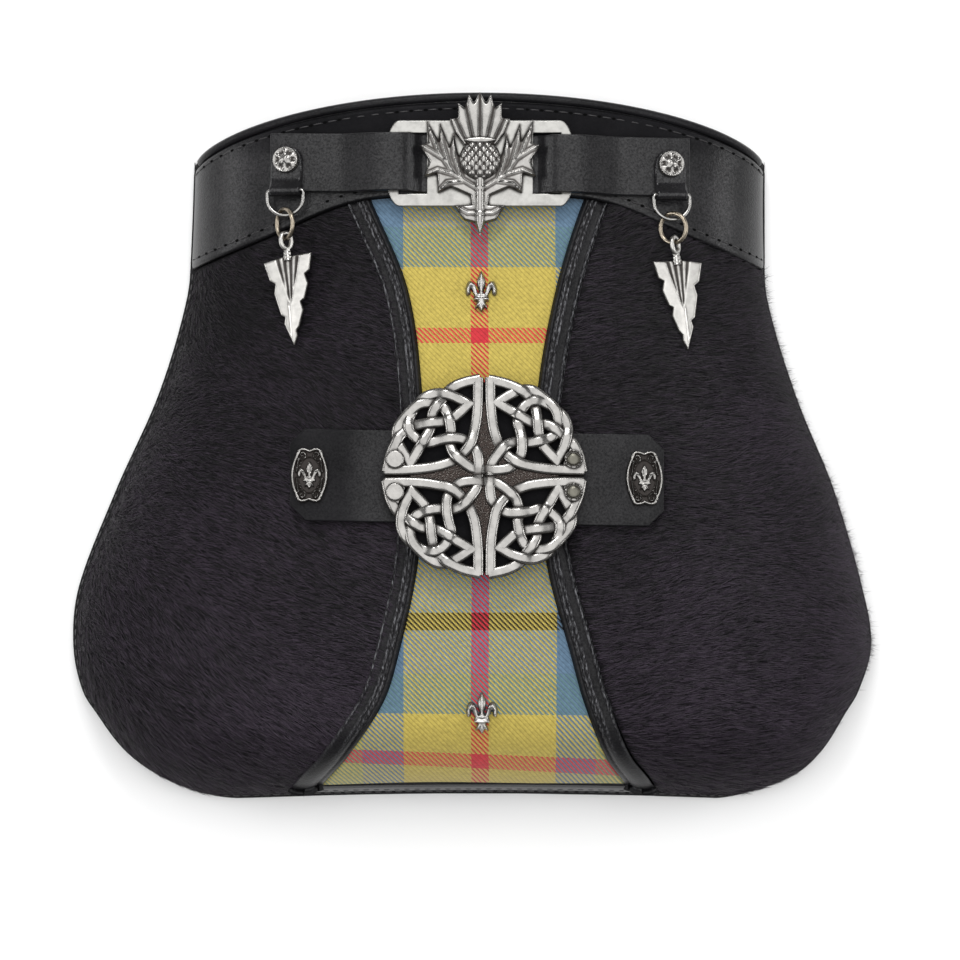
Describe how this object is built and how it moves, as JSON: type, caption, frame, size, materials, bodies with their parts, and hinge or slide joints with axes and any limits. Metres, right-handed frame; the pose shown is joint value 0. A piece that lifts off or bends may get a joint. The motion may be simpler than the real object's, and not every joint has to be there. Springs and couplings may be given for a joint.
{
  "type": "sporran pouch",
  "caption": "Leather and fur sporran pouch with a tartan centre, knotwork clasp, belt with a thistle ornament, and arrowhead drops",
  "frame": {"origin": "on the flat back face, on the middle line, half way up the pouch", "axes": "+X to the wearer's left as the pouch is seen from the front, +Y to the mouth, +Z out of the front"},
  "size_m": [0.2672, 0.2347, 0.0651],
  "materials": {
    "leather": "black pebbled leather, satin",
    "leather_gloss": "black smooth leather, waxed shine",
    "fur": "short black hair on hide, soft sheen",
    "tartan": "woven twill wool in yellow, blue, grey, red and black",
    "silver": "antique silver cast metal, dark in the recesses",
    "warm_silver": "worn plated wire, slightly warm"
  },
  "bodies": {
    "root": {"back_panel": "leather", "seam_welt": "leather", "fur_left": "fur", "fur_right": "fur", "tartan_panel": "tartan", "tartan_border_left": "leather", "tartan_border_right": "leather", "bottom_binding": "leather", "yoke": "leather_gloss", "rim_binding": "leather_gloss", "belt": "leather_gloss", "slide_plate": "silver", "emblem_thistle": "silver", "lower_band": "leather", "clasp_backing": "leather", "clasp_knot": "silver", "clasp_rivet_upper_left": "silver", "clasp_rivet_upper_right": "silver", "clasp_rivet_lower_left": "silver", "clasp_rivet_lower_right": "silver", "cartouche_left": "silver", "cartouche_right": "silver", "fleur_stud_upper": "silver", "fleur_stud_lower": "silver", "ring_tab_left": "leather", "ring_tab_right": "leather", "rivet_left": "silver", "rivet_right": "silver", "d_ring_left": "silver", "d_ring_right": "silver", "jump_ring_left": "warm_silver", "jump_ring_right": "warm_silver", "pendant_left": "silver", "pendant_right": "silver"}
  },
  "joints": []
}
